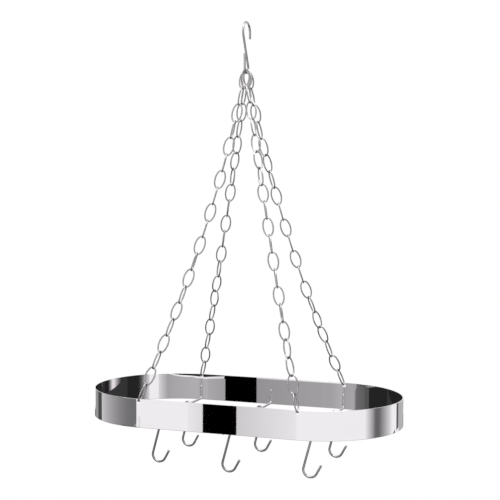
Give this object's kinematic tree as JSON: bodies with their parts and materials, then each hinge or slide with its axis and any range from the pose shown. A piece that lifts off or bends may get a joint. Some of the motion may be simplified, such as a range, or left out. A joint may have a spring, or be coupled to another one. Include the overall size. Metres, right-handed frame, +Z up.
{
  "type": "hanging pot rack",
  "caption": "Oval metal band hung level from one ceiling hook by four link chains, with cross bars that carry loose S-hooks for pots.",
  "frame": {"origin": "inside top of the ceiling hook's large loop, where the rack hangs", "axes": "+Z up, +X along the band to the right, -Y the front as pictured"},
  "size_m": [0.432, 0.229, 0.5971],
  "materials": {
    "band_chrome": "mirror polished chrome plate on steel strip",
    "bar_chrome": "bright chrome plate on drawn wire",
    "hook_chrome": "bright chrome plate on drawn wire",
    "chain_chrome": "bright plated link wire"
  },
  "bodies": {
    "ceiling_hook": {"ceiling_hook": "hook_chrome"},
    "rack": {"band": "band_chrome", "bar_left": "bar_chrome", "bar_middle": "bar_chrome", "bar_right": "bar_chrome", "chain_front_right_link_1": "chain_chrome", "chain_front_right_links_2_3": "chain_chrome", "chain_front_right_links_4_5": "chain_chrome", "chain_front_right_links_6_7": "chain_chrome", "chain_front_right_links_8_9": "chain_chrome", "chain_front_right_links_10_11": "chain_chrome", "chain_front_right_links_12_13": "chain_chrome", "chain_front_right_links_14_15": "chain_chrome", "chain_front_right_links_16_17": "chain_chrome", "chain_front_right_links_18_19": "chain_chrome", "chain_front_right_link_20": "chain_chrome", "chain_front_left_link_1": "chain_chrome", "chain_front_left_links_2_3": "chain_chrome", "chain_front_left_links_4_5": "chain_chrome", "chain_front_left_links_6_7": "chain_chrome", "chain_front_left_links_8_9": "chain_chrome", "chain_front_left_links_10_11": "chain_chrome", "chain_front_left_links_12_13": "chain_chrome", "chain_front_left_links_14_15": "chain_chrome", "chain_front_left_links_16_17": "chain_chrome", "chain_front_left_links_18_19": "chain_chrome", "chain_front_left_link_20": "chain_chrome", "chain_back_right_link_1": "chain_chrome", "chain_back_right_links_2_3": "chain_chrome", "chain_back_right_links_4_5": "chain_chrome", "chain_back_right_links_6_7": "chain_chrome", "chain_back_right_links_8_9": "chain_chrome", "chain_back_right_links_10_11": "chain_chrome", "chain_back_right_links_12_13": "chain_chrome", "chain_back_right_links_14_15": "chain_chrome", "chain_back_right_links_16_17": "chain_chrome", "chain_back_right_links_18_19": "chain_chrome", "chain_back_right_link_20": "chain_chrome", "chain_back_left_link_1": "chain_chrome", "chain_back_left_links_2_3": "chain_chrome", "chain_back_left_links_4_5": "chain_chrome", "chain_back_left_links_6_7": "chain_chrome", "chain_back_left_links_8_9": "chain_chrome", "chain_back_left_links_10_11": "chain_chrome", "chain_back_left_links_12_13": "chain_chrome", "chain_back_left_links_14_15": "chain_chrome", "chain_back_left_links_16_17": "chain_chrome", "chain_back_left_links_18_19": "chain_chrome", "chain_back_left_link_20": "chain_chrome"},
    "pot_hook_front_left": {"pot_hook_front_left": "hook_chrome"},
    "pot_hook_back_left": {"pot_hook_back_left": "hook_chrome"},
    "pot_hook_front_middle": {"pot_hook_front_middle": "hook_chrome"},
    "pot_hook_back_middle": {"pot_hook_back_middle": "hook_chrome"},
    "pot_hook_front_right": {"pot_hook_front_right": "hook_chrome"},
    "pot_hook_back_right": {"pot_hook_back_right": "hook_chrome"}
  },
  "joints": [
    {"name": "rack_swing", "type": "hinge", "parent": "ceiling_hook", "child": "rack", "pos_m": [0, 0, -0.065], "axis": [0, 1, 0], "range_deg": [-20, 20]},
    {"name": "pot_hook_front_left_swing", "type": "hinge", "parent": "rack", "child": "pot_hook_front_left", "pos_m": [-0.109, -0.0475, -0.5324], "axis": [0, 1, 0], "range_deg": [-60, 60]},
    {"name": "pot_hook_back_left_swing", "type": "hinge", "parent": "rack", "child": "pot_hook_back_left", "pos_m": [-0.109, 0.0565, -0.5324], "axis": [0, 1, 0], "range_deg": [-60, 60]},
    {"name": "pot_hook_front_middle_swing", "type": "hinge", "parent": "rack", "child": "pot_hook_front_middle", "pos_m": [0, -0.066, -0.5324], "axis": [0, 1, 0], "range_deg": [-60, 60]},
    {"name": "pot_hook_back_middle_swing", "type": "hinge", "parent": "rack", "child": "pot_hook_back_middle", "pos_m": [0, 0.0615, -0.5324], "axis": [0, 1, 0], "range_deg": [-60, 60]},
    {"name": "pot_hook_front_right_swing", "type": "hinge", "parent": "rack", "child": "pot_hook_front_right", "pos_m": [0.109, -0.0585, -0.5324], "axis": [0, 1, 0], "range_deg": [-60, 60]},
    {"name": "pot_hook_back_right_swing", "type": "hinge", "parent": "rack", "child": "pot_hook_back_right", "pos_m": [0.109, 0.064, -0.5324], "axis": [0, 1, 0], "range_deg": [-60, 60]}
  ]
}
